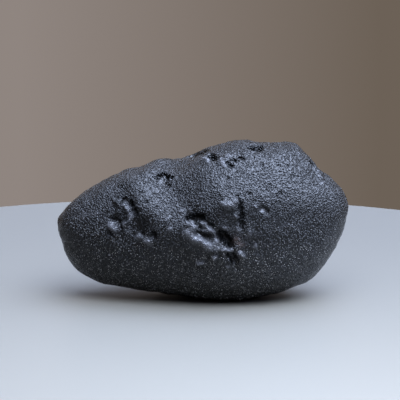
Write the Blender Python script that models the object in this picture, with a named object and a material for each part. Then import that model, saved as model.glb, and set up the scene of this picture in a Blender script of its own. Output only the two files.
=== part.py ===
"""One indochinite tektite: a solid stone of black natural glass, lying on its long side.

The stone is a sphere of directions pushed out to a plain body, which has the true side outline in XZ
and a smooth depth in Y. Broad folds are then pressed into it, and the hollows, ridges and pits
into those. Marks on the stone are a pair of turns in degrees, right and up from the middle of one
face, so that the rim is 90 degrees out all round.
"""

import math

import bmesh
import bpy
import numpy as np

MM = 0.001
OBJECT_NAME = "indochinite_tektite"
STONE_NAME = "tektite_stone"

# Side outline in mm, (X, Z), anticlockwise from the right end, as the rim of the stone follows it.
OUTLINE = (
    (31.7, 17.4), (32.3, 20.6), (31.2, 23.8), (28.5, 26.6), (25.7, 28.7), (24.5, 30.4),
    (22.4, 32.6), (20.6, 34.3), (17.0, 34.5), (12.6, 34.5), (7.9, 35.1), (3.6, 34.1),
    (0.8, 33.4), (-1.5, 32.3), (-4.0, 31.1), (-6.8, 30.7), (-9.7, 31.0), (-12.3, 30.0),
    (-14.6, 28.9), (-17.2, 28.3), (-22.5, 26.0), (-27.3, 23.1), (-31.0, 19.6), (-32.4, 17.4),
    (-32.3, 15.5), (-31.8, 13.2), (-31.1, 10.1), (-28.6, 6.4), (-24.6, 3.8), (-18.6, 2.4),
    (-7.2, 0.4), (5.0, -0.6), (15.9, 0.9), (22.0, 2.7), (25.2, 5.2), (28.3, 9.2), (30.5, 13.5),
)
# The same outline without its small notches, which the middle of both faces follows.
SOFT_OUTLINE = (
    (31.6, 17.4), (29.0, 26.2), (19.0, 33.8), (4.0, 33.8), (-11.0, 30.3), (-24.5, 24.8),
    (-32.2, 15.5), (-30.0, 8.2), (-18.6, 2.4), (5.0, -0.6), (15.9, 0.9), (27.0, 7.0),
)
CORE = (0.5, 16.5)  # (X, Z) in mm, where the outline's radii start
RIM_POWER = 7  # how fast the small notches fade away from the rim
# Depth of each face in mm, (X, depth).
FRONT_DEPTH = ((-32.5, 12.5), (-12.0, 14.7), (2.0, 17.0), (12.0, 17.3), (32.5, 16.5))
BACK_DEPTH = ((-32.5, 12.0), (-12.0, 15.0), (10.0, 17.2), (32.5, 15.5))
FACE_POWER = 0.87  # under 1 makes the faces fuller than an ellipsoid's

# Relief: face, half width in mm, depth in mm (minus stands out), edge power, marks.
# Edge power 2 is a soft bell, 4 a pit with a flat floor.
FOLDS = (
    ("front", 3.7, 1.25, 2, ((-42, 67.5), (-33, 43), (-23.5, 30))),  # valley below the saddle
    ("front", 1.5, 0.7, 2, ((-12, 18.5), (-4, 14.5), (3, 5), (5.5, -1))),  # foot of the hump
    ("front", 3.6, -0.6, 2, ((6, 57.5), (7.5, 38.5), (12.5, 20))),  # left flank of the hump
    ("front", 2.9, -0.75, 2, ((-37, 15), (-25.5, 8), (-14, 2.5), (-4.5, -3), (10.5, -8.5))),  # ledge
    ("front", 2.4, -0.35, 2, ((-54, 33), (-39, 21.5))),  # crown of the left shoulder
    ("front", 2.4, 0.4, 2, ((-51, 23), (-41.5, 15.5), (-34, 8.5), (-26.5, 2.5))),  # left hollow
    ("front", 3.0, -0.35, 2, ((20.5, 18.5), (32, 17), (49, 14.5), (68, 12.5))),  # right brow
    ("front", 3.0, -0.3, 2, ((-70, 2.5), (-49.5, -1.5), (-37, -2.5))),  # left brow
    ("front", 4.0, 0.5, 2, ((-38, -62),)),  # shallow scoop under the left end
    ("front", 3.2, 0.5, 2, ((64, -46),)),  # shallow scoop under the right end
    ("back", 5.0, 2.0, 2, ((-32, 22),)),  # thumbprint
    ("back", 5.5, 1.7, 2, ((26, -16), (42, -8))),  # long scoop
    ("back", 3.2, 1.2, 2, ((6, 44), (12, 62))),  # scoop below the top
    ("back", 2.4, 1.3, 2, ((-62, -4), (-46, -20), (-28, -30))),  # bent groove
    ("back", 2.6, -0.9, 2, ((-14, -4), (2, 8), (16, 26))),  # ridge between the scoops
    ("back", 3.0, 1.0, 2, ((60, 24), (48, 38))),  # scoop at the shoulder
)
DETAILS = (
    ("front", 0.8, 1.1, 2, ((-11, 13.5), (-4.5, 16), (3, 8))),  # head of the front hollow
    ("front", 0.7, -0.7, 2, ((-8, 6), (-4.5, 7), (0.5, 5.5))),  # lump beside it
    ("front", 1.0, -1.0, 2, ((-8.5, 0.5), (-4, -1.5), (0, -6.5), (5.5, -7), (9.5, -8))),  # its lip
    ("front", 0.9, 1.3, 2, ((4, 2), (7, -0.5), (9, -2.5))),  # its deepest place
    ("front", 0.8, 0.6, 2, ((12.5, -13.5), (16, -16.5))),  # hollow under the lip
    ("front", 0.6, 0.8, 2, ((17, 18.5), (15.5, 10.5), (13.5, 3))),  # crease
    ("front", 0.8, -0.5, 2, ((14.5, 16), (13, 7.5))),  # its bank
    ("front", 0.8, 1.1, 2, ((-43.5, 19), (-38.5, 14))),  # pit in the left hollow
    ("front", 0.8, -0.8, 2, ((-42, 4.5), (-38.5, 3.5), (-35, 2.5))),  # lumps below it
    ("front", 0.7, 0.6, 2, ((-35.5, 9.5), (-30.5, 4.5))),
    ("front", 0.7, -0.6, 2, ((-29, -0.5), (-26.5, -2))),
    ("front", 1.15, 1.5, 4, ((-36, 51),)),  # twin pit
    ("front", 1.1, 0.8, 2, ((-37, 42),)),  # floor below it
    ("front", 0.8, 0.8, 4, ((-29.5, 51),)),
    ("front", 0.9, 1.6, 4, ((38, 63.5), (42, 65))),  # pit on the hump
    ("front", 1.0, 0.6, 2, ((-11, 85.5), (-5, 87))),  # scoop in the skyline
    ("front", 0.8, 1.2, 4, ((2, 74), (6.5, 67.5), (9, 63.5))),  # gash below it
    ("front", 0.6, 0.6, 2, ((16.5, 66), (18, 58.5), (19, 54))),
    ("front", 0.6, 0.5, 2, ((26.5, 13.5), (29, 12))),  # gouge in the right brow
    ("front", 0.7, 0.8, 4, ((69, 39),)),  # notch at the right shoulder
    ("back", 1.5, 1.0, 4, ((-52, 30),)),  # pits and gashes of the back
    ("back", 1.1, 0.8, 2, ((-12, 32), (-7, 37))),
    ("back", 1.0, 0.8, 2, ((34, 34), (42, 28), (50, 26))),
    ("back", 1.3, 0.9, 4, ((56, 2),)),
    ("back", 0.9, 0.7, 2, ((-4, -30), (8, -36), (20, -38))),
    ("back", 1.8, 1.1, 4, ((10, -10),)),
    ("back", 1.1, 0.8, 4, ((-44, 2),)),
)
SWELL_SIZES = (9.0, 4.0)  # mm, spacing of the body's slight unevenness
SWELL_HEIGHTS = (0.30, 0.16)  # mm
SWELL_MIDDLE, SWELL_LEAN = 0.7, 0.3  # the front is the smoother face, the back the wavier one

# Mesh: a ball whose edges are halved until none is longer than PLAIN_EDGE mm, or near a detail
# than a share of its size.
BALL_SUBDIVISIONS = 4
PLAIN_EDGE = 2.3
FINE_EDGE = 1.0  # of a detail's half width, over FINE_REACH half widths from its middle
FINE_REACH = 1.9
HALVINGS = 4

GLASS_COLOUR = (0.012, 0.012, 0.013, 1.0)
GLASS_ROUGHNESS = 0.5


def smooth_line(at, knots):
    """A cubic curve through knots (place, value), each knot's slope taken from its neighbours."""
    place, value = np.array(knots, float).T
    slope = np.gradient(value, place)
    left = np.clip(np.searchsorted(place, at) - 1, 0, len(place) - 2)
    width = place[left + 1] - place[left]
    share = np.clip((at - place[left]) / width, 0, 1)
    ease = share * share * (3 - 2 * share)
    start = share * (1 - share) ** 2 * width * slope[left]
    end = share * share * (share - 1) * width * slope[left + 1]
    return value[left] + (value[left + 1] - value[left]) * ease + start + end


def outline_radius(outline, bearing):
    """Distance in mm from the core to the outline at each bearing, in radians from +X over +Z."""
    knots = np.array(outline) - CORE
    round_from_x = np.arctan2(knots[:, 1], knots[:, 0])
    order = np.argsort(round_from_x)
    turns = np.concatenate([round_from_x[order] + lap * 2 * math.pi for lap in (-1, 0, 1)])
    radii = np.tile(np.hypot(*knots.T)[order], 3)
    return smooth_line(bearing, np.stack([turns, radii], 1))


def plain_body(turns):
    """Points in mm of the body without relief, for unit directions."""
    across = np.hypot(turns[:, 0], turns[:, 2])
    bearing = np.arctan2(turns[:, 2], turns[:, 0])
    soft = outline_radius(SOFT_OUTLINE, bearing)
    sharp = outline_radius(OUTLINE, bearing)
    radius = (soft + (sharp - soft) * across**RIM_POWER) * across
    x = CORE[0] + radius * np.cos(bearing)
    z = CORE[1] + radius * np.sin(bearing)
    depth = np.where(turns[:, 1] < 0, smooth_line(x, FRONT_DEPTH), smooth_line(x, BACK_DEPTH))
    y = np.sign(turns[:, 1]) * depth * np.abs(turns[:, 1]) ** FACE_POWER
    return np.stack([x, y, z], 1)


def marked_points(face, marks):
    """The plain body's points under marks (right, up) in degrees."""
    right, up = np.radians(np.array(marks, float)).T
    out = np.maximum(np.hypot(right, up), 1e-9)
    along_y = np.cos(out) * (1 if face == "back" else -1)
    return plain_body(np.stack([np.sin(out) * right / out, along_y, np.sin(out) * up / out], 1))


def distance_to_line(points, line):
    """Distance of each point to the nearest part of a line of one or more points."""
    nearest = np.linalg.norm(points - line[0], axis=1)
    for start, end in zip(line[:-1], line[1:]):
        run = end - start
        share = np.clip((points - start) @ run / (run @ run), 0, 1)
        gap = np.linalg.norm(points - start - share[:, None] * run, axis=1)
        nearest = np.minimum(nearest, gap)
    return nearest


def pressed_in(points, relief):
    """How far in mm the relief sinks each of the plain body's points."""
    depth = np.zeros(len(points))
    for face, half_width, deepest, edge_power, marks in relief:
        gap = distance_to_line(points, marked_points(face, marks))
        depth += deepest * np.exp(-((gap / half_width) ** edge_power))
    return depth


def swell(points, size):
    """A gentle waviness from -1 to 1: three crossed sine waves, bent by each other."""
    x, y, z = (points * (2 * math.pi / size)).T
    first = np.sin(x + 1.7 * np.sin(0.6 * z + 1.0))
    second = np.sin(0.9 * y + 1.3 * np.sin(0.7 * x + 2.0))
    third = np.sin(1.1 * z + 1.5 * np.sin(0.8 * y + 4.0))
    return (first * second + second * third + third * first) / 3


def allowed_edge(points):
    """The longest mesh edge in mm at each of the plain body's points: short near a detail."""
    longest = np.full(len(points), PLAIN_EDGE)
    for face, half_width, _, _, marks in DETAILS:
        gap = distance_to_line(points, marked_points(face, marks))
        near = gap < FINE_REACH * half_width
        longest[near] = np.minimum(longest[near], FINE_EDGE * half_width)
    return longest


def stone_ball():
    """A bmesh of unit directions whose edges suit the stone that it becomes."""
    ball = bmesh.new()
    bmesh.ops.create_icosphere(ball, subdivisions=BALL_SUBDIVISIONS, radius=1)
    for _ in range(HALVINGS):
        body = plain_body(np.array([vert.co for vert in ball.verts]))
        longest = allowed_edge(body)
        ends = np.array([[vert.index for vert in edge.verts] for edge in ball.edges])
        lengths = np.linalg.norm(body[ends[:, 0]] - body[ends[:, 1]], axis=1)
        too_long = lengths > longest[ends].mean(axis=1)
        edges = [edge for edge, long in zip(ball.edges, too_long) if long]
        bmesh.ops.subdivide_edges(ball, edges=edges, cuts=1)
        bmesh.ops.triangulate(ball, faces=ball.faces[:])
        for vert in ball.verts:
            vert.co.normalize()
        ball.verts.index_update()
    return ball


def move(mesh, points):
    """Sets the vertices of a bmesh to points in mm and updates its normals."""
    for vert, point in zip(mesh.verts, points * MM):
        vert.co = point
    mesh.normal_update()


def press(mesh, depth):
    """Sinks each vertex of a bmesh by its depth in mm along its normal."""
    points = np.array([vert.co for vert in mesh.verts]) / MM
    outward = np.array([vert.normal for vert in mesh.verts])
    move(mesh, points - outward * depth[:, None])


def glass_material():
    """Etched black glass: very dark and half rough."""
    material = bpy.data.materials.new("etched_black_glass")
    material.use_nodes = True
    shader = material.node_tree.nodes["Principled BSDF"]
    shader.inputs["Base Color"].default_value = GLASS_COLOUR
    shader.inputs["Roughness"].default_value = GLASS_ROUGHNESS
    shader.inputs["Metallic"].default_value = 0.0
    return material


def tektite_stone():
    """The stone: plain body, folds, details, and the small flat on which it rests at Z = 0.

    Its origin is the middle of its box, at the height of that flat.
    """
    ball = stone_ball()
    turns = np.array([vert.co for vert in ball.verts])
    body = plain_body(turns)
    move(ball, body)
    unevenness = sum(height * swell(body, size) for size, height in zip(SWELL_SIZES, SWELL_HEIGHTS))
    unevenness *= SWELL_MIDDLE + SWELL_LEAN * turns[:, 1]
    press(ball, pressed_in(body, FOLDS) - unevenness)
    press(ball, pressed_in(body, DETAILS))
    points = np.array([vert.co for vert in ball.verts]) / MM
    points[:, 2] = np.maximum(points[:, 2], 0)
    points[:, :2] -= (points[:, :2].min(axis=0) + points[:, :2].max(axis=0)) / 2
    move(ball, points)
    mesh = bpy.data.meshes.new(STONE_NAME)
    ball.to_mesh(mesh)
    ball.free()
    mesh.shade_smooth()
    mesh.materials.append(glass_material())
    return bpy.data.objects.new(STONE_NAME, mesh)


for old in list(bpy.data.objects):
    bpy.data.objects.remove(old)
collection = bpy.data.collections.new(OBJECT_NAME)
bpy.context.scene.collection.children.link(collection)
collection.objects.link(tektite_stone())
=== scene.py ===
"""One indochinite tektite: its etched skin, the floor it lies on, the light and the camera."""

import math

import bpy
import numpy as np
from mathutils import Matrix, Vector


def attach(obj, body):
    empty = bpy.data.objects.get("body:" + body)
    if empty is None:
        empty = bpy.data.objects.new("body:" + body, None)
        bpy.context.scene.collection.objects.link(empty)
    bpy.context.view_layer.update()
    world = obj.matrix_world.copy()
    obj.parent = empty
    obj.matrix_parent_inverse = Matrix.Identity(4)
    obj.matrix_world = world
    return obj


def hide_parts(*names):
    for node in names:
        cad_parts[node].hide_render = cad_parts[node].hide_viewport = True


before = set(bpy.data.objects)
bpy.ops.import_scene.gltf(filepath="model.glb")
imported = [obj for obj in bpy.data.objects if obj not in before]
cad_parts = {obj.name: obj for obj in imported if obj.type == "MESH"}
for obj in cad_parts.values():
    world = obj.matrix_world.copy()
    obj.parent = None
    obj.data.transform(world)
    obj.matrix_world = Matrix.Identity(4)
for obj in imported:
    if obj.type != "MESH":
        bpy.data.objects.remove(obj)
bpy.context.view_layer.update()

# ---------------------------------------------------------------------------------------------
# The stone. One lump of black natural glass, thrown out molten by an impact and frozen in
# flight. Its folds come from that flight. Ages in wet ground then etched its skin, which left
# round pits, grooves, a rough grooved hollow across one face, and a fine satin grain all over.

MM = 0.001

# Side outline in mm, (X, Z), anticlockwise from the right end, as the stone's rim follows it.
OUTLINE = (
    (31.7, 17.4), (32.3, 20.6), (31.2, 23.8), (28.5, 26.6), (25.7, 28.7), (24.5, 30.4),
    (22.4, 32.6), (20.6, 34.3), (17.0, 34.5), (12.6, 34.5), (7.9, 35.1), (3.6, 34.1),
    (0.8, 33.4), (-1.5, 32.3), (-4.0, 31.1), (-6.8, 30.7), (-9.7, 31.0), (-12.3, 30.0),
    (-14.6, 28.9), (-17.2, 28.3), (-22.5, 26.0), (-27.3, 23.1), (-31.0, 19.6), (-32.4, 17.4),
    (-32.3, 15.5), (-31.8, 13.2), (-31.1, 10.1), (-28.6, 6.4), (-24.6, 3.8), (-18.6, 2.4),
    (-7.2, 0.4), (5.0, -0.6), (15.9, 0.9), (22.0, 2.7), (25.2, 5.2), (28.3, 9.2), (30.5, 13.5),
)
# The same outline without its small notches, which the middle of both faces follows.
SOFT_OUTLINE = (
    (31.6, 17.4), (29.0, 26.2), (19.0, 33.8), (4.0, 33.8), (-11.0, 30.3), (-24.5, 24.8),
    (-32.2, 15.5), (-30.0, 8.2), (-18.6, 2.4), (5.0, -0.6), (15.9, 0.9), (27.0, 7.0),
)
CORE = (0.5, 16.5)  # (X, Z) in mm, where the outline's radii start
RIM_POWER = 7  # how fast the small notches fade away from the rim
# Depth of each face in mm, (X, depth).
FRONT_DEPTH = ((-32.5, 12.5), (-12.0, 14.7), (2.0, 17.0), (12.0, 17.3), (32.5, 16.5))
BACK_DEPTH = ((-32.5, 12.0), (-12.0, 15.0), (10.0, 17.2), (32.5, 15.5))
FACE_POWER = 0.87  # under 1 makes the faces fuller than an ellipsoid's
CELLS = (190, 102, 104)  # mesh cells along X, Y and Z of the box grid


def smooth_line(at, knots):
    """A cubic curve through knots (place, value), each knot's slope taken from its neighbours."""
    place, value = np.array(knots, float).T
    slope = np.gradient(value, place)
    left = np.clip(np.searchsorted(place, at) - 1, 0, len(place) - 2)
    width = place[left + 1] - place[left]
    share = np.clip((at - place[left]) / width, 0, 1)
    ease = share * share * (3 - 2 * share)
    start = share * (1 - share) ** 2 * width * slope[left]
    end = share * share * (share - 1) * width * slope[left + 1]
    return value[left] + (value[left + 1] - value[left]) * ease + start + end


def outline_radius(outline, bearing):
    """Distance in mm from the core to the outline at each bearing, in radians from +X over +Z.

    It is the smooth line through the corners' own distances, with a lap more before and after.
    """
    knots = np.array(outline) - CORE
    round_from_x = np.arctan2(knots[:, 1], knots[:, 0])
    order = np.argsort(round_from_x)
    turns = np.concatenate([round_from_x[order] + lap * 2 * math.pi for lap in (-1, 0, 1)])
    radii = np.tile(np.hypot(*knots.T)[order], 3)
    return smooth_line(bearing, np.stack([turns, radii], 1))


def plain_body(turns):
    """Points in mm of the body without relief, for unit directions.

    The XZ part of a direction reaches out along the outline's radius at its bearing, and its Y
    part, raised to the face power, takes the face's depth at the X that was reached.
    """
    across = np.hypot(turns[:, 0], turns[:, 2])
    bearing = np.arctan2(turns[:, 2], turns[:, 0])
    soft = outline_radius(SOFT_OUTLINE, bearing)
    sharp = outline_radius(OUTLINE, bearing)
    radius = (soft + (sharp - soft) * across**RIM_POWER) * across
    x = CORE[0] + radius * np.cos(bearing)
    z = CORE[1] + radius * np.sin(bearing)
    depth = np.where(turns[:, 1] < 0, smooth_line(x, FRONT_DEPTH), smooth_line(x, BACK_DEPTH))
    y = np.sign(turns[:, 1]) * depth * np.abs(turns[:, 1]) ** FACE_POWER
    return np.stack([x, y, z], 1)


def box_grid(cells):
    """Unit directions and quads of six grids, one on each side of a box, blown up to a sphere.

    Two parameters run over each side at even angles from -45 to 45 degrees, their tangents give a
    place on the side, and dividing by its length puts it on the sphere. Doubled seams are merged.
    """
    lines = [np.tan(np.linspace(-math.pi / 4, math.pi / 4, count + 1)) for count in cells]
    sides, quads, used = [], [], 0
    for axis in range(3):
        first, second = (axis + 1) % 3, (axis + 2) % 3
        u, v = np.meshgrid(lines[first], lines[second], indexing="ij")
        index = np.arange(u.size).reshape(u.shape)
        ring = np.stack([index[:-1, :-1], index[1:, :-1], index[1:, 1:], index[:-1, 1:]], -1)
        ring = ring.reshape(-1, 4)
        for sign in (-1, 1):
            place = np.empty((u.size, 3))
            place[:, axis], place[:, first], place[:, second] = sign, u.ravel(), v.ravel()
            sides.append(place / np.linalg.norm(place, axis=1)[:, None])
            quads.append((ring if sign > 0 else ring[:, ::-1]) + used)
            used += u.size
    turns = np.concatenate(sides)
    rounded = np.round(turns * 1e6).astype(np.int64)
    _, kept, index = np.unique(rounded, axis=0, return_index=True, return_inverse=True)
    return turns[kept], index.reshape(-1)[np.concatenate(quads)]


turns, quads = box_grid(CELLS)
body = plain_body(turns)

# Relief, here and below: face, half width in mm, depth in mm (minus stands out), edge power,
# marks. A mark is a pair of turns in degrees, right and up from the middle of that face; the rim
# is 90 degrees out. Edge power 2 is a soft bell, 4 a pit with a flat floor.
FOLDS = (
    ("front", 3.7, 1.25, 2, ((-42, 67.5), (-33, 43), (-23.5, 30))),  # saddle valley
    ("front", 1.5, 0.7, 2, ((-12, 18.5), (-4, 14.5), (3, 5), (5.5, -1))),  # foot of the hump
    # ledge
    ("front", 2.9, -0.75, 2, ((-37, 15), (-25.5, 8), (-14, 2.5), (-4.5, -3), (10.5, -8.5))),
    ("front", 3.6, -0.6, 2, ((6, 57.5), (7.5, 38.5), (12.5, 20))),  # left flank of the hump
    ("front", 2.4, -0.35, 2, ((-54, 33), (-39, 21.5))),  # crown of the left shoulder
    ("front", 2.4, 0.4, 2, ((-51, 23), (-41.5, 15.5), (-34, 8.5), (-26.5, 2.5))),  # left hollow
    ("front", 3.0, -0.35, 2, ((20.5, 18.5), (32, 17), (49, 14.5), (68, 12.5))),  # right brow
    ("front", 3.0, -0.3, 2, ((-70, 2.5), (-49.5, -1.5), (-37, -2.5))),  # left brow
    ("front", 4.0, 0.5, 2, ((-38, -62),)),  # shallow scoop under the left end
    ("front", 3.2, 0.5, 2, ((64, -46),)),  # shallow scoop under the right end
    ("back", 5.0, 2.0, 2, ((-32, 22),)),  # thumbprint
    ("back", 5.5, 1.7, 2, ((26, -16), (42, -8))),  # long scoop
    ("back", 3.2, 1.2, 2, ((6, 44), (12, 62))),  # scoop below the top
    ("back", 2.4, 1.3, 2, ((-62, -4), (-46, -20), (-28, -30))),  # bent groove
    ("back", 2.6, -0.9, 2, ((-14, -4), (2, 8), (16, 26))),  # ridge between the scoops
    ("back", 3.0, 1.0, 2, ((60, 24), (48, 38))),  # scoop at the shoulder
)
SWELL_SIZES = (9.0, 4.0)  # mm, spacing of the body's slight unevenness
SWELL_HEIGHTS = (0.30, 0.16)  # mm
RIM_SWELL, MORE_BEHIND = 0.7, 0.3  # shares of those heights: at the rim, and added to the back


def marked_points(face, marks):
    """The plain body's points under marks: each pair of turns is one turn out from the middle."""
    right, up = np.radians(np.array(marks, float)).T
    out = np.maximum(np.hypot(right, up), 1e-9)
    along_y = np.cos(out) * (1 if face == "back" else -1)
    return plain_body(np.stack([np.sin(out) * right / out, along_y, np.sin(out) * up / out], 1))


def distance_to_line(points, line):
    """Distance of each point to the nearest part of a line of one or more points."""
    nearest = np.linalg.norm(points - line[0], axis=1)
    for start, end in zip(line[:-1], line[1:]):
        run = end - start
        share = np.clip((points - start) @ run / (run @ run), 0, 1)
        gap = np.linalg.norm(points - start - share[:, None] * run, axis=1)
        nearest = np.minimum(nearest, gap)
    return nearest


def pressed_in(points, relief):
    """How far in mm each point sinks: depths times exp(-(distance / half width)^power), summed."""
    depth = np.zeros(len(points))
    for face, half_width, deepest, edge_power, marks in relief:
        gap = distance_to_line(points, marked_points(face, marks))
        depth += deepest * np.exp(-((gap / half_width) ** edge_power))
    return depth


def swell(points, size):
    """A gentle waviness from -1 to 1: three crossed sine waves, bent by each other."""
    x, y, z = (points * (2 * math.pi / size)).T
    first = np.sin(x + 1.7 * np.sin(0.6 * z + 1.0))
    second = np.sin(0.9 * y + 1.3 * np.sin(0.7 * x + 2.0))
    third = np.sin(1.1 * z + 1.5 * np.sin(0.8 * y + 4.0))
    return (first * second + second * third + third * first) / 3


def outward(points, quads):
    """Unit normals: at each point the sum of its quads' crossed diagonals."""
    crossed = np.cross(
        points[quads[:, 2]] - points[quads[:, 0]], points[quads[:, 3]] - points[quads[:, 1]]
    )
    total = np.stack(
        [
            np.bincount(quads.ravel(), np.repeat(crossed[:, axis], 4), minlength=len(points))
            for axis in range(3)
        ],
        1,
    )
    return total / np.linalg.norm(total, axis=1)[:, None]


fold_depth = pressed_in(body, FOLDS)
for size, height in zip(SWELL_SIZES, SWELL_HEIGHTS):
    fold_depth -= height * swell(body, size) * (RIM_SWELL + MORE_BEHIND * turns[:, 1])
points = body - outward(body, quads) * fold_depth[:, None]

# How the edges of the small marks wander: spacing in mm, bend in mm, and a salt for each axis.
# A salt is the whole number that gives a pattern its own random draws.
RAGGED = ((1.3, 0.2, (120, 130, 140)), (0.62, 0.14, (150, 160, 170)))


def cell_hash(cell, salt):
    """A whole number from 0 to 65535 for each lattice cell, the same on every run.

    The cell's three numbers and the salt, each times a large prime, are mixed bit by bit, and
    shifts and two more such factors spread every bit over the rest.
    """
    mixed = cell[..., 0] * 73856093 ^ cell[..., 1] * 19349663 ^ cell[..., 2] * 83492791
    mixed = (mixed ^ (salt * 2654435761)) & 0xFFFFFFFF
    mixed = ((mixed ^ (mixed >> 15)) * 2246822519) & 0xFFFFFFFF
    mixed = ((mixed ^ (mixed >> 13)) * 3266489917) & 0xFFFFFFFF
    return (mixed ^ (mixed >> 16)) & 0xFFFF


def grain(points, size, salt):
    """Gradient noise from about -1 to 1.

    At each corner of a lattice a random slope gives a rise, and the eight rises round a point are
    blended by 6s^5 - 15s^4 + 10s^3 of the share s of the way from one corner to the next.
    """
    place = points / size
    cell = np.floor(place).astype(np.int64)
    inside = place - cell
    ease = inside**3 * (inside * (inside * 6 - 15) + 10)
    total = np.zeros(len(points))
    for corner in np.ndindex(2, 2, 2):
        lattice = cell + corner
        slope = np.stack([cell_hash(lattice, salt + axis) for axis in range(3)], 1) / 32768 - 1
        rise = ((inside - corner) * slope).sum(axis=1)
        total += rise * np.prod(np.where(corner, ease, 1 - ease), axis=1)
    return total * 1.5


bent = body.copy()
for size, bend, salts in RAGGED:
    bent += bend * np.stack([grain(body, size, salt) for salt in salts], 1)

# The grooved hollow across the front, and the crease that runs down into it.
HOLLOW = (
    ("front", 0.65, 1.2, 2, ((-11.5, 13), (-8.5, 15), (-4.5, 15))),  # its head
    ("front", 0.4, 0.4, 2, ((-0.5, 11.5), (3, 6))),  # its run down the foot of the hump
    ("front", 0.55, -0.6, 2, ((-3.5, 11.5), (3, 2.5))),  # ridge between two grooves
    ("front", 0.8, -0.7, 2, ((-9.5, 8.5), (-7, 5.5))),  # lump at the ridge's upper end
    ("front", 0.35, 0.7, 2, ((-6.5, 11.5), (-4.5, 7))),
    ("front", 0.6, 0.9, 2, ((-4, 2), (-0.5, 1), (2.5, -0.5))),  # groove along the lip
    ("front", 1, -0.8, 2, ((-7.5, 2), (-4.5, 0), (-2, -2.5), (2.5, -5.5))),  # lip
    ("front", 0.35, -0.28, 2, ((5.5, -6), (9, -5.5), (12, -6))),  # its thin end
    ("front", 0.5, -0.65, 2, ((3.5, 0), (5, -2.5))),  # cross ridge
    ("front", 0.8, 1.8, 2, ((6, 1), (8, -0.5), (10, -2))),  # its deepest place
    ("front", 0.55, -0.6, 2, ((5.5, -13),)),  # ridges below it
    ("front", 0.5, -0.5, 2, ((-6, -18), (-3, -19))),
    ("front", 0.55, -0.6, 2, ((15.5, -7.5), (17.5, -9))),
    ("front", 0.7, 1.2, 2, ((12.5, -8.5), (15.5, -12.5))),  # hollow under the lip
    # crease
    ("front", 0.32, 0.95, 2, ((17.5, 18.5), (17, 15), (16.5, 11), (15.5, 7.5), (14.5, 4))),
    ("front", 0.8, -0.55, 2, ((11, 19.5), (13.5, 17))),  # bank at the crease's upper end
    ("front", 0.5, -0.5, 2, ((15.5, 19),)),
    ("front", 0.5, -0.6, 2, ((13.5, 10),)),
)
# The rough hollow in the left shoulder, with its lumps.
LEFT_HOLLOW = (
    ("front", 0.6, 1.25, 2, ((-41, 16), (-37.5, 12.5), (-35, 10))),  # its deepest place
    ("front", 0.3, 0.6, 2, ((-47, 18.5),)),
    ("front", 0.3, 0.6, 2, ((-46, 19.5),)),
    ("front", 0.5, -0.6, 2, ((-43.5, 15), (-39.5, 12))),
    ("front", 0.45, -0.5, 2, ((-36, 9), (-34.5, 6.5))),
    ("front", 1.5, 0.25, 2, ((-29.5, 4),)),  # floor between the lumps
    ("front", 0.4, 0.7, 2, ((-43, 6), (-39.5, 5.5))),
    ("front", 0.65, -0.65, 2, ((-41, 3), (-38, 1.5))),  # the largest lump
    ("front", 0.35, 0.7, 2, ((-37.5, 4), (-35.5, 2))),
    ("front", 0.55, -0.75, 2, ((-35, 3.5),)),
    ("front", 0.5, 0.8, 2, ((-40, 0),)),
    ("front", 0.45, 0.9, 2, ((-25, 0),)),
    ("front", 0.55, -0.6, 2, ((-26.5, -1),)),
    ("front", 0.65, -0.7, 2, ((-23, -2.5), (-22, -3))),
    ("front", 0.6, 0.9, 2, ((-20.5, 0),)),
)
# Burst bubbles, gashes and gouges.
PITS = (
    ("front", 1.1, 0.2, 2, ((-40, 49.5),)),  # twin pit: its bowl
    # its undercut edge
    ("front", 0.47, 1.25, 2, ((-42.5, 48), (-42, 53), (-39.5, 57), (-36, 55), (-34, 49.5))),
    ("front", 0.95, 0.55, 2, ((-37, 45), (-36, 43))),  # its slanting floor
    ("front", 0.5, 1, 3, ((-31.5, 53),)),  # its second bowl
    ("front", 0.35, -0.5, 2, ((-32, 49),)),  # wall between them
    ("front", 0.5, 0.3, 2, ((-31.5, 40.5),)),  # third bowl
    ("front", 1, 2.6, 4, ((39, 66.5), (43.5, 68), (40.5, 63.5))),  # pit on the hump
    ("front", 1, 1.1, 2, ((-18.5, 93), (-9.5, 89), (-3, 85.5))),  # scoop in the skyline
    ("front", 0.8, 1.5, 4, ((4, 71), (8, 65))),  # gash below it
    ("front", 0.65, -0.5, 2, ((-2.5, 69), (2, 64.5))),
    ("front", 0.45, -0.4, 2, ((13.5, 60.5), (14.5, 52.5))),
    ("front", 0.5, -0.4, 2, ((18, 62.5), (19.5, 62.5))),
    ("front", 0.34, 0.65, 2, ((17, 55.5), (17.5, 51.5), (19, 50))),
    ("front", 0.3, 0.6, 2, ((20, 56), (22.5, 54))),
    ("front", 0.3, 0.5, 2, ((26, 56.5), (27.5, 53.5))),
    ("front", 0.5, 0.6, 2, ((25, 12.5), (26, 11.5))),  # gouge in the right brow
    ("front", 0.7, 2, 3, ((69.5, 41), (70.5, 40))),  # notch at the right shoulder
    ("back", 1.5, 1.0, 4, ((-52, 30),)),
    ("back", 1.1, 0.8, 2, ((-12, 32), (-7, 37))),
    ("back", 1.0, 0.8, 2, ((34, 34), (42, 28), (50, 26))),
    ("back", 1.3, 0.9, 4, ((56, 2),)),
    ("back", 0.9, 0.7, 2, ((-4, -30), (8, -36), (20, -38))),
    ("back", 1.8, 1.1, 4, ((10, -10),)),
    ("back", 1.1, 0.8, 4, ((-44, 2),)),
)
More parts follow.
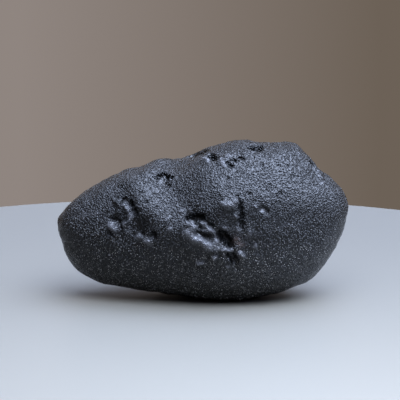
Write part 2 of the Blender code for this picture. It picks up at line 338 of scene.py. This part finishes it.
# Small dents and small lumps, each alone: half width and depth in mm, and marks on the front.
DENT = (0.32, 0.45)
DENT_MARKS = (
    (15.5, 39.5), (44.5, 30), (47, 31), (47, 38.5), (58.5, 38), (42, 40), (35, 43), (34.5, 38.5),
    (21, 42.5), (30.5, 56.5), (-40.5, 25.5), (-46, 47.5), (-34, 18.5), (10.5, 23.5), (17.5, 22.5),
    (22.5, 22.5), (36, 20.5),
)
LUMP = (0.46, -0.42)
LUMP_MARKS = (
    (8, 4), (13, 3.5), (17.5, 1.5), (5.5, -15), (-5.5, -19.5), (-3.5, -19.5), (16.5, -8), (21, -4),
    (59.5, 48), (68.5, 34.5), (67.5, 30.5), (64, 25.5), (56.5, 21), (-19.5, 8.5), (-17, 17),
    (-12.5, 20.5), (25, 11.5), (-15.5, 3), (13.5, -18.5), (22.5, 14),
)

marked = [*HOLLOW, *LEFT_HOLLOW, *PITS]
dents = [("front", *DENT, 2, (mark,)) for mark in DENT_MARKS]
lumps = [("front", *LUMP, 2, (mark,)) for mark in LUMP_MARKS]
hollow_depth = pressed_in(bent, [*marked, *dents, *lumps])

ETCH_SPACING = 1.7  # mm between the small round pits of the etching
ETCH_SHARE = 0.4  # of the places that hold one
ETCH_RADIUS, ETCH_SPREAD = 0.12, 0.2  # of the spacing: the smallest radius, and the most added
ETCH_DEPTH = 0.45  # of a pit's radius
PLACE_SALT, RADIUS_SALT, SHARE_SALT = 50, 60, 70  # for a pit's place, radius and presence
GRAIN_SIZES = (2.6, 1.3, 0.7)  # mm, from the skin's unevenness down to its etched grain
GRAIN_HEIGHTS = (0.04, 0.04, 0.07)  # mm
GRAIN_SALTS = (0, 10, 20)
ROUGH_SIZES = (1.5, 0.85, 0.55)  # mm, spacing of the roughest etching
ROUGH_SALTS = (80, 90, 100)
# Where the etching is roughest: face, half width and height in mm, and marks.
ROUGH_PATCHES = (
    ("front", 2.2, 0.5, ((-47, 16), (-41, 10), (-35, 4))),
    ("front", 1.2, 0.4, ((-28, 0), (-20, -3))),
    ("front", 1.8, 0.35, ((-10, 12), (-2, 6), (6, -1), (12, -5))),
    ("front", 1.4, 0.4, ((6, -10), (14, -10), (17, -17))),
    ("front", 1.6, 0.28, ((14, 12), (16, 2), (24, -2))),
    ("front", 1.3, 0.30, ((68, 38), (72, 29))),
    ("front", 1.1, 0.25, ((0, 69), (14, 60), (28, 55))),
    ("back", 2.4, 0.30, ((-62, -4), (-46, -20), (-28, -30))),
    ("back", 2.0, 0.25, ((34, 34), (50, 26))),
    ("back", 1.8, 0.25, ((-4, -30), (20, -38))),
)


def random_share(cell, salt):
    """A number from 0 to 1 for each lattice cell: its hash over the hash's range."""
    return cell_hash(cell, salt) / 65536


def etched_pits(points):
    """Depth in mm of round pits at random places in some cells of a lattice.

    Each is a bowl, its radius times 1 - (distance / radius)^2, and the deepest one counts. A cell
    that holds none has a pit too small to reach a point.
    """
    cell = np.floor(points / ETCH_SPACING).astype(np.int64)
    depth = np.zeros(len(points))
    for step in np.ndindex(3, 3, 3):
        lattice = cell + np.array(step) - 1
        place = np.stack([random_share(lattice, PLACE_SALT + axis) for axis in range(3)], 1)
        centre = (lattice + place) * ETCH_SPACING
        radius = ETCH_SPACING * (ETCH_RADIUS + ETCH_SPREAD * random_share(lattice, RADIUS_SALT))
        radius[random_share(lattice, SHARE_SALT) > ETCH_SHARE] = 1e-6
        gap = np.linalg.norm(points - centre, axis=1) / radius
        depth = np.maximum(depth, radius * np.clip(1 - gap * gap, 0, 1))
    return depth


skin_depth = hollow_depth + ETCH_DEPTH * etched_pits(body)
for size, height, salt in zip(GRAIN_SIZES, GRAIN_HEIGHTS, GRAIN_SALTS):
    skin_depth -= height * grain(body, size, salt)
crumb = sum(grain(body, size, salt) for size, salt in zip(ROUGH_SIZES, ROUGH_SALTS))
for face, half_width, height, marks in ROUGH_PATCHES:
    gap = distance_to_line(body, marked_points(face, marks))
    skin_depth -= height * crumb * np.exp(-((gap / half_width) ** 2))
points -= outward(points, quads) * skin_depth[:, None]
points[:, 2] = np.maximum(points[:, 2], 0)  # what it rests on is flat
points[:, :2] -= (points[:, :2].min(axis=0) + points[:, :2].max(axis=0)) / 2

# Where the glass is fresh, down in the hollows, and where the lumps turn a paler grey, partly
# rubbed wear and partly a painted highlight: how many half widths that reaches, and the edge
# power.
FRESH_REACH, FRESH_POWER = 1.25, 4
SCUFF_HIGHLIGHT_REACH, SCUFF_HIGHLIGHT_POWER = 1.0, 2
CLAY_MARKS = ((12, -1), (14.5, -3.5))  # a stain of clay beside the hollow on the front
CLAY_HALF_WIDTH = 0.8  # mm


def nearness(points, relief, reach, power):
    """From 0 to 1, how near each point lies to any mark of the relief.

    It is exp(-(distance / (reach x half width))^power), and the highest value counts.
    """
    nearest = np.zeros(len(points))
    for face, half_width, _, _, marks in relief:
        gap = distance_to_line(points, marked_points(face, marks)) / (reach * half_width)
        nearest = np.maximum(nearest, np.exp(-(gap**power)))
    return nearest


sunk = [row for row in marked if row[2] > 0]
# The raised marks and lumps get the paler grey that is partly rubbed wear, partly a painted
# highlight.
raised = [row for row in marked if row[2] < 0] + lumps
clay_gap = distance_to_line(bent, marked_points("front", CLAY_MARKS))
shares = {
    "clay": np.exp(-((clay_gap / CLAY_HALF_WIDTH) ** 2)),
    "fresh_glass": nearness(bent, sunk, FRESH_REACH, FRESH_POWER),
    "scuff_and_highlight": nearness(bent, raised, SCUFF_HIGHLIGHT_REACH, SCUFF_HIGHLIGHT_POWER),
}
skin = bpy.data.meshes.new("etched_stone")
skin.from_pydata(points * MM, [], quads)
skin.shade_smooth()
for name, share in shares.items():
    skin.attributes.new(name, "FLOAT", "POINT").data.foreach_set("value", share)
stone = bpy.data.objects.new("etched_stone", skin)
bpy.context.scene.collection.objects.link(stone)

GLASS = (0.0015, 0.0015, 0.0016, 1.0)  # the glass itself, nearly black
CLAY = (0.040, 0.029, 0.026, 1.0)  # brown clay in its grain
SCUFF_AND_HIGHLIGHT_GREY = (0.047, 0.047, 0.049, 1.0)  # paler grey of lumps and ridges: partly rubbed wear, partly a painted highlight
DUST_AND_GLINT = (0.27, 0.26, 0.245, 1.0)  # pale specks: partly dust, partly painted glints
REFRACTION, SPECULAR = 1.5, 0.2  # index of refraction, and the level of its mirror light
GRAIN_SCALE = 2400  # cells of the satin grain in a metre
GRAIN_RISE = 0.00028  # metres
NOISE_SHARE = 1.4  # height of the grain's noise against its pits
PIT_FLOOR, PIT_RIM = 0.2, 0.5  # distances from a pit's middle, in cells
FRESH_GRAIN = 0.4  # of the grain, where the glass is fresh
LOW_GRAIN = 0.5  # of the grain, low on the stone
GRAIN_LOW, GRAIN_HIGH = 0.012, 0.024  # metres up, between which the grain grows to its full height
PIT_ROUGHNESS, RIM_ROUGHNESS = 0.38, 0.18  # in the grain's pits and on their rims
FRESH_ROUGHNESS = 0.55  # of the roughness, where the glass is fresh
DUST_GLINT_SCALE = 4300  # places for a speck in a metre
DUST_GLINT_FREE = 0.5  # share of the places without a speck
DUST_GLINT_RADIUS = 0.38  # largest speck, in cells
DUST_GLINT_LOW, DUST_GLINT_HIGH = 0.012, 0.026  # metres up, between which the specks shrink
HIGH_DUST_GLINT = 0.2  # their size high on the stone
CLAY_SCALE = 900  # cells of the clay's patches in a metre
CLAY_BARE, CLAY_FULL = 0.35, 0.6  # values of their noise: no clay, covered


def node(tree, kind, inputs, **settings):
    """A new shader node in a tree: its settings set, and each input given a value or a link."""
    made = tree.nodes.new("ShaderNode" + kind)
    for name, value in settings.items():
        setattr(made, name, value)
    for name, value in inputs.items():
        if isinstance(value, bpy.types.NodeSocket):
            tree.links.new(value, made.inputs[name])
        else:
            made.inputs[name].default_value = value
    return made


def spread(tree, value, start, end, low, high):
    """A number that runs evenly from low to high as value runs from start to end, held beyond."""
    span = {"Value": value, "From Min": start, "From Max": end, "To Min": low, "To Max": high}
    return node(tree, "MapRange", span).outputs["Result"]


def product(tree, first, second):
    """One number times another."""
    return node(tree, "Math", {0: first, 1: second}, operation="MULTIPLY").outputs[0]


def blended(tree, share, first, second):
    """A colour that goes from first to second as share goes from 0 to 1."""
    colours = {"Factor": share, "A": first, "B": second}
    return node(tree, "Mix", colours, data_type="RGBA").outputs["Result"]


glass = bpy.data.materials.new("etched_black_glass")
glass.use_nodes = True
tree = glass.node_tree
shader = tree.nodes["Principled BSDF"]
shader.inputs["IOR"].default_value = REFRACTION
shader.inputs["Specular IOR Level"].default_value = SPECULAR
place = node(tree, "TexCoord", {}).outputs["Object"]
level = node(tree, "SeparateXYZ", {0: place}).outputs["Z"]
fresh = node(tree, "Attribute", {}, attribute_name="fresh_glass").outputs["Fac"]
scuff_and_highlight = node(tree, "Attribute", {}, attribute_name="scuff_and_highlight").outputs["Fac"]
stained = node(tree, "Attribute", {}, attribute_name="clay").outputs["Fac"]

# Grain: noise and round pits, calmer where the glass is fresh and low on the stone.
fine = {"Vector": place, "Scale": GRAIN_SCALE, "Detail": 2, "Roughness": 0.6}
noise = node(tree, "TexNoise", fine).outputs["Fac"]
pits = node(tree, "TexVoronoi", {"Vector": place, "Scale": GRAIN_SCALE}).outputs["Distance"]
rims = spread(tree, pits, PIT_FLOOR, PIT_RIM, 0, 1)
both = {0: noise, 1: NOISE_SHARE, 2: rims}
height = node(tree, "Math", both, operation="MULTIPLY_ADD").outputs[0]
height = product(tree, height, spread(tree, fresh, 0, 1, 1, FRESH_GRAIN))
height = product(tree, height, spread(tree, level, GRAIN_LOW, GRAIN_HIGH, LOW_GRAIN, 1))
bump = node(tree, "Bump", {"Height": height, "Distance": GRAIN_RISE, "Strength": 1})
tree.links.new(bump.outputs["Normal"], shader.inputs["Normal"])

# Roughness: satin in the pits, glossier on their rims and where the glass is fresh.
satin = spread(tree, rims, 0, 1, PIT_ROUGHNESS, RIM_ROUGHNESS)
satin = product(tree, satin, spread(tree, fresh, 0, 1, 1, FRESH_ROUGHNESS))
tree.links.new(satin, shader.inputs["Roughness"])

# Colour: black glass, stained by clay, a paler grey on the lumps that is partly rubbed wear and
# partly a painted highlight, and pale specks over it that are partly dust and partly painted
# glints.
patches = {"Vector": place, "Scale": CLAY_SCALE, "Detail": 1}
patchy = node(tree, "TexNoise", patches).outputs["Fac"]
stain = product(tree, spread(tree, patchy, CLAY_BARE, CLAY_FULL, 0, 1), stained)
colour = blended(tree, stain, GLASS, CLAY)
# Raised lumps and ridges turn a paler grey: partly rubbed wear, partly a painted highlight.
colour = blended(tree, scuff_and_highlight, colour, SCUFF_AND_HIGHLIGHT_GREY)
# Pale specks, partly dust and partly painted glints, larger low on the stone and none where the
# glass is fresh.
specks = node(tree, "TexVoronoi", {"Vector": place, "Scale": DUST_GLINT_SCALE})
chance = node(tree, "SeparateColor", {0: specks.outputs["Color"]}).outputs[0]
radius = spread(tree, chance, DUST_GLINT_FREE, 1, 0, DUST_GLINT_RADIUS)
radius = product(tree, radius, spread(tree, level, DUST_GLINT_HIGH, DUST_GLINT_LOW, HIGH_DUST_GLINT, 1))
radius = product(tree, radius, spread(tree, fresh, 0, 1, 1, 0))
inside = {0: specks.outputs["Distance"], 1: radius}
speck = node(tree, "Math", inside, operation="LESS_THAN").outputs[0]
colour = blended(tree, speck, colour, DUST_AND_GLINT)
tree.links.new(colour, shader.inputs["Base Color"])
skin.materials.append(glass)

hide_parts("tektite_stone")
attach(stone, "root")

# ---------------------------------------------------------------------------------------------
# The floor: a plain pale round top, just wide enough that its far edge shows behind the stone.
# It isn't part of the object.

FLOOR_RADIUS = 0.11
FLOOR_MIDDLE = (-0.005, 0.016)
FLOOR_CORNERS = 256
FLOOR_COLOUR = (0.0395, 0.038, 0.0332, 1.0)
FLOOR_ROUGHNESS = 0.4

circle = np.linspace(0, 2 * math.pi, FLOOR_CORNERS, endpoint=False)
top_points = np.stack([np.cos(circle), np.sin(circle), np.zeros(FLOOR_CORNERS)], 1) * FLOOR_RADIUS
top_points[:, :2] += FLOOR_MIDDLE
floor_mesh = bpy.data.meshes.new("floor")
floor_mesh.from_pydata(top_points, [], [range(FLOOR_CORNERS)])
floor = bpy.data.objects.new("floor", floor_mesh)
bpy.context.scene.collection.objects.link(floor)
paint = bpy.data.materials.new("pale_floor")
paint.use_nodes = True
paint_shader = paint.node_tree.nodes["Principled BSDF"]
paint_shader.inputs["Base Color"].default_value = FLOOR_COLOUR
paint_shader.inputs["Roughness"].default_value = FLOOR_ROUGHNESS
floor_mesh.materials.append(paint)

# ---------------------------------------------------------------------------------------------
# The light: a dim warm room whose wall is lighter on the left, one large cool light overhead
# that is weaker from behind, and a small lamp in front that lights the floor alone.

WALL_LEFT = (0.275, 0.235, 0.215, 1.0)
WALL_RIGHT = (0.15, 0.12, 0.095, 1.0)
WALL_CHANGE = 0.1  # how far to each side of the middle one goes over to the other
SKY_MIDDLE = (0.37, 0.05, 0.92)  # the way to the brightest place overhead
SKY_COLOUR = (0.62, 0.735, 1.0)
# Brightness of the overhead light by the cosine of the angle from its middle.
SKY_FALL = ((-0.1, 0.0), (0.25, 0.4), (0.5, 1.4), (0.72, 6.7), (0.84, 25.5), (1.0, 46.0))
SKY_START, SKY_FULL = 0.05, 0.5  # how steeply up a direction points: no light yet, all of it
BEHIND_START, BEHIND_FULL = 0.15, 0.7  # how far back a direction points as it is dimmed
BEHIND_LIGHT = 0.3  # of the overhead light that is left there
LAMP_PLACE = (0.03, -0.11, 0.13)
LAMP_SIZE = 0.12
LAMP_WATTS = 2.5
LAMP_COLOUR = (0.78, 0.86, 1.0)

room = bpy.data.worlds.new("room")
bpy.context.scene.world = room
room.use_nodes = True
tree = room.node_tree
direction = node(tree, "TexCoord", {}).outputs["Generated"]
split = node(tree, "SeparateXYZ", {0: direction}).outputs
side = spread(tree, split["X"], -WALL_CHANGE, WALL_CHANGE, 0, 1)
wall = blended(tree, side, WALL_LEFT, WALL_RIGHT)
middle = {0: direction, 1: Vector(SKY_MIDDLE).normalized()}
towards = node(tree, "VectorMath", middle, operation="DOT_PRODUCT").outputs["Value"]
fall = node(tree, "ValToRGB", {"Fac": spread(tree, towards, -1, 1, 0, 1)})
brightest = SKY_FALL[-1][1]
stops = fall.color_ramp.elements
stops[0].position, stops[0].color = 0, (0, 0, 0, 1)
stops.remove(stops[1])
for cosine, value in SKY_FALL:
    grey = value / brightest
    stops.new((cosine + 1) / 2).color = (grey, grey, grey, 1)
power = spread(tree, split["Z"], SKY_START, SKY_FULL, 0, brightest)
power = product(tree, power, spread(tree, split["Y"], BEHIND_START, BEHIND_FULL, 1, BEHIND_LIGHT))
glow = {0: fall.outputs["Color"], "Scale": power}
sky = node(tree, "VectorMath", glow, operation="SCALE").outputs[0]
tinted = {0: sky, 1: SKY_COLOUR, 2: wall}
light = node(tree, "VectorMath", tinted, operation="MULTIPLY_ADD").outputs[0]
tree.links.new(light, tree.nodes["Background"].inputs["Color"])

bulb = bpy.data.lights.new("floor_lamp", "AREA")
bulb.size = LAMP_SIZE
bulb.energy = LAMP_WATTS
bulb.color = LAMP_COLOUR
lamp = bpy.data.objects.new("floor_lamp", bulb)
bpy.context.scene.collection.objects.link(lamp)
lamp.location = LAMP_PLACE
floor_only = bpy.data.collections.new("floor_only")
floor_only.objects.link(floor)
lamp.light_linking.receiver_collection = floor_only
bpy.context.scene.view_settings.view_transform = "Standard"

# ---------------------------------------------------------------------------------------------
# The camera, level with the stone's upper half and looking a little down on it. It stands
# straight in front.

CAMERA_RISE = math.radians(10)
CAMERA_DISTANCE = 0.40
CAMERA_LENS, FILM_WIDTH = 160, 36  # mm
AIM_RIGHT, AIM_UP = -0.00062, 0.02152  # metres in the picture's plane, from the origin

picture_up = Vector((0, math.sin(CAMERA_RISE), math.cos(CAMERA_RISE)))
towards_camera = Vector((0, -math.cos(CAMERA_RISE), math.sin(CAMERA_RISE)))
aim = Vector((AIM_RIGHT, 0, 0)) + picture_up * AIM_UP
lens = bpy.data.cameras.new("camera")
lens.lens = CAMERA_LENS
lens.sensor_width = FILM_WIDTH
camera = bpy.data.objects.new("camera", lens)
bpy.context.scene.collection.objects.link(camera)
camera.location = aim + towards_camera * CAMERA_DISTANCE
camera.rotation_euler = (-towards_camera).to_track_quat("-Z", "Y").to_euler()
bpy.context.scene.camera = camera
